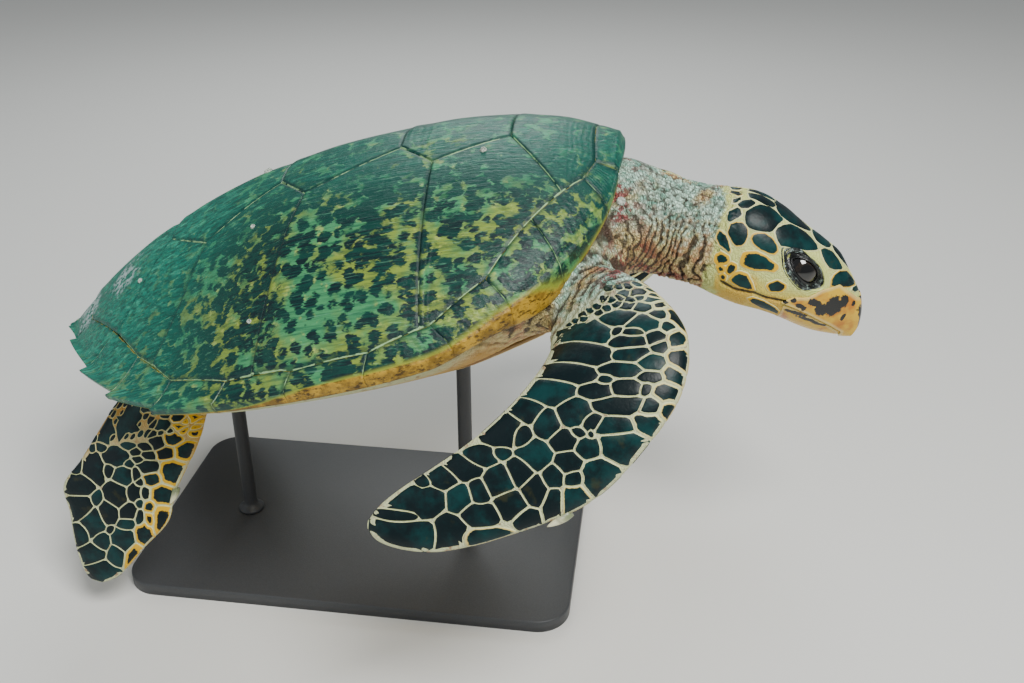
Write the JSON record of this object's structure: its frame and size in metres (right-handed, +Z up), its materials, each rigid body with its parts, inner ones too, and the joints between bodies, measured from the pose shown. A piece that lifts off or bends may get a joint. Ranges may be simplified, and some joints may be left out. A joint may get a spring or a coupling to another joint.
{
  "type": "hawksbill sea turtle model on a display stand",
  "caption": "Life-size hawksbill sea turtle in a swimming pose, with a plated shell, scaled head and flippers, carried on two rods above a flat base.",
  "frame": {"origin": "middle of the model's footprint, on the surface the stand's base rests on", "axes": "+X to the head, +Y to the turtle's left side, +Z up"},
  "size_m": [0.9665, 0.6792, 0.5771],
  "materials": {
    "scute": "horn plates, dark green with yellow-green mottling, softly glossy",
    "plastron": "pale yellow horn, smooth",
    "skin": "wrinkled cream skin with dark blue-black scales edged in cream",
    "beak": "yellow horn with dark streaks",
    "claw": "pale greenish horn",
    "eye": "dark, wet gloss",
    "stand": "satin charcoal paint"
  },
  "bodies": {
    "root": {"nuchal": "scute", "vertebral_1": "scute", "vertebral_2": "scute", "vertebral_3": "scute", "vertebral_4": "scute", "vertebral_5": "scute", "costal_left_1": "scute", "costal_right_1": "scute", "costal_left_2": "scute", "costal_right_2": "scute", "costal_left_3": "scute", "costal_right_3": "scute", "costal_left_4": "scute", "costal_right_4": "scute", "marginal_left_1": "scute", "marginal_right_1": "scute", "marginal_left_2": "scute", "marginal_right_2": "scute", "marginal_left_3": "scute", "marginal_right_3": "scute", "marginal_left_4": "scute", "marginal_right_4": "scute", "marginal_left_5": "scute", "marginal_right_5": "scute", "marginal_left_6": "scute", "marginal_right_6": "scute", "marginal_left_7": "scute", "marginal_right_7": "scute", "marginal_left_8": "scute", "marginal_right_8": "scute", "marginal_left_9": "scute", "marginal_right_9": "scute", "marginal_left_10": "scute", "marginal_right_10": "scute", "marginal_left_11": "scute", "marginal_right_11": "scute", "marginal_left_12": "scute", "marginal_right_12": "scute", "plastron": "plastron", "head": "skin", "neck": "skin", "trunk": "skin", "tail": "skin", "front_arm_left": "skin", "front_blade_left": "skin", "hind_flipper_left": "skin", "front_claw_left": "claw", "hind_claw_left": "claw", "eye_left": "eye", "front_arm_right": "skin", "front_blade_right": "skin", "hind_flipper_right": "skin", "front_claw_right": "claw", "hind_claw_right": "claw", "eye_right": "eye", "beak_upper": "beak", "beak_lower": "beak", "stand_base": "stand", "stand_rod_front": "stand", "stand_rod_rear": "stand"}
  },
  "joints": []
}
